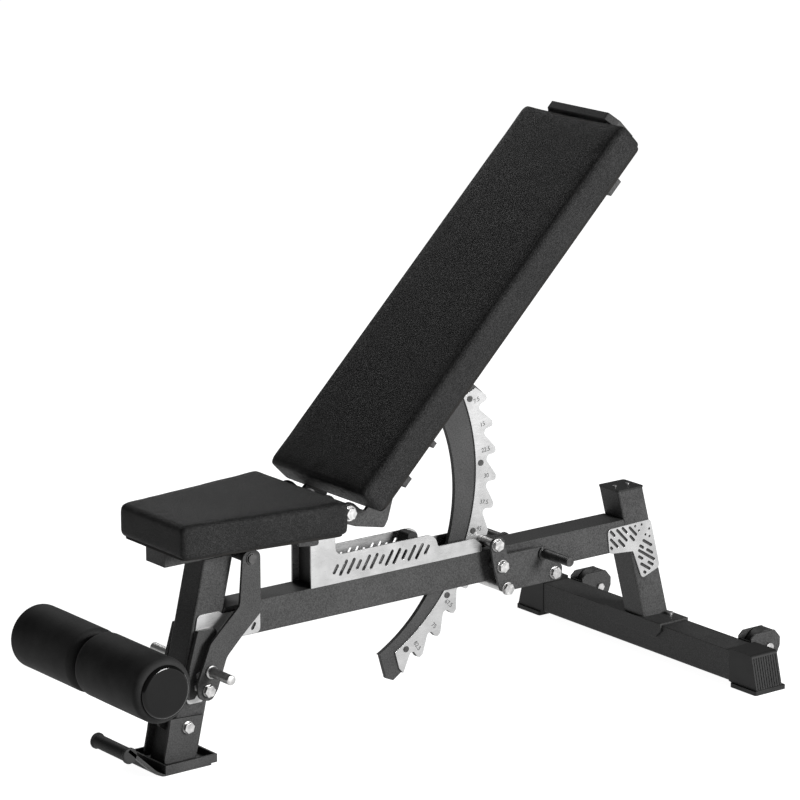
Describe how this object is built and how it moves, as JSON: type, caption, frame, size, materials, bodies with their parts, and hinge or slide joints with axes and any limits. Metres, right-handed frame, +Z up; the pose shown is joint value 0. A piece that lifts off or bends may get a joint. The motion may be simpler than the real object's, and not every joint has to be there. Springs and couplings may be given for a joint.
{
  "type": "adjustable weight bench",
  "caption": "Adjustable weight bench with a padded seat and backrest on a steel frame, an arc ladder that sets the back angle, foam leg rollers and transport wheels.",
  "frame": {"origin": "centre of the overall box in X and Y, on the floor", "axes": "+X from the leg rollers to the transport wheels, +Y to the sitter's left, +Z up"},
  "size_m": [1.4041, 0.694, 1.0619],
  "materials": {
    "black_paint": "fine texture powder coat",
    "polished_plate": "polished",
    "zinc": "zinc plated",
    "dark_steel": "black oxide",
    "black_plastic": "moulded",
    "rubber": "matt",
    "wheel_rubber": "satin",
    "foam": "closed cell foam, matt",
    "vinyl": "grained vinyl, padded",
    "board": "painted ply"
  },
  "bodies": {
    "frame": {"main_beam": "black_paint", "front_post": "black_paint", "rear_upright": "black_paint", "upright_cap": "black_plastic", "cap_and_saddle_screws": "zinc", "rear_base_tube": "black_paint", "base_saddle": "black_paint", "base_end_caps": "black_plastic", "foot_plate": "black_paint", "carry_handle_bracket": "black_paint", "carry_handle_grip": "rubber", "foot_rubber_pad": "rubber", "foot_bracket": "black_paint", "foot_bolts": "zinc", "front_gussets": "polished_plate", "rear_gussets": "polished_plate", "guard_plates": "polished_plate", "slot_liner": "black_plastic", "rest_bumper": "rubber", "pivot_tube": "black_paint", "seat_support": "black_paint", "seat_hinge_ears": "black_paint", "seat_hinge_bolt": "zinc", "catch_plates": "black_paint", "catch_bolts": "zinc", "catch_rollers": "zinc", "catch_spacers": "black_paint", "band_pegs": "dark_steel", "seat_ladder": "black_paint", "roller_arm": "black_paint", "roller_shaft": "black_paint", "wheel_brackets": "black_paint", "wheel_axle_bolts": "zinc"},
    "backrest": {"back_pad": "vinyl", "back_board": "board", "cross_straps": "black_paint", "back_frame_tube": "black_paint", "back_brackets": "black_paint", "pivot_shaft": "zinc", "ladder_hinge_bolt": "zinc", "head_handle": "black_paint", "pad_screws": "zinc"},
    "ladder": {"ladder_core": "black_paint", "ladder_faces": "polished_plate", "ladder_screws": "dark_steel"},
    "seat": {"seat_rail": "black_paint", "seat_board": "board", "seat_pad": "vinyl", "prop_top_bolt": "dark_steel"},
    "prop": {"prop_plates": "black_paint", "prop_pins": "zinc", "prop_pegs": "zinc"},
    "roller_left": {"foam_roller_left": "foam", "roller_core_left": "black_plastic"},
    "roller_right": {"foam_roller_right": "foam", "roller_core_right": "black_plastic"},
    "wheel_left": {"wheel_tyre_left": "wheel_rubber", "wheel_hub_left": "black_plastic"},
    "wheel_right": {"wheel_tyre_right": "wheel_rubber", "wheel_hub_right": "black_plastic"}
  },
  "joints": [
    {"name": "backrest_tilt", "type": "hinge", "parent": "frame", "child": "backrest", "pos_m": [-0.1815, 0, 0.42], "axis": [0, -1, 0], "range_deg": [-45, 37.5]},
    {"name": "ladder_swing", "type": "hinge", "parent": "backrest", "child": "ladder", "pos_m": [0.1484, 0, 0.6105], "axis": [0, -1, 0], "range_deg": [-4, 0]},
    {"name": "seat_tilt", "type": "hinge", "parent": "frame", "child": "seat", "pos_m": [-0.234, 0, 0.38], "axis": [0, -1, 0], "range_deg": [-12, 0]},
    {"name": "prop_swing", "type": "hinge", "parent": "seat", "child": "prop", "pos_m": [-0.365, 0, 0.362], "axis": [0, -1, 0], "range_deg": [0, 14.1]},
    {"name": "roller_left_spin", "type": "hinge", "parent": "frame", "child": "roller_left", "pos_m": [-0.6443, 0.1, 0.2141], "axis": [0, 1, 0], "continuous": true},
    {"name": "roller_right_spin", "type": "hinge", "parent": "frame", "child": "roller_right", "pos_m": [-0.6443, -0.1, 0.2141], "axis": [0, 1, 0], "continuous": true},
    {"name": "wheel_left_spin", "type": "hinge", "parent": "frame", "child": "wheel_left", "pos_m": [0.668, 0.243, 0.0515], "axis": [0, 1, 0], "continuous": true},
    {"name": "wheel_right_spin", "type": "hinge", "parent": "frame", "child": "wheel_right", "pos_m": [0.668, -0.243, 0.0515], "axis": [0, 1, 0], "continuous": true}
  ],
  "couplings": [
    {"joint": "prop_swing", "follows": "seat_tilt", "ratio": -1.175}
  ]
}
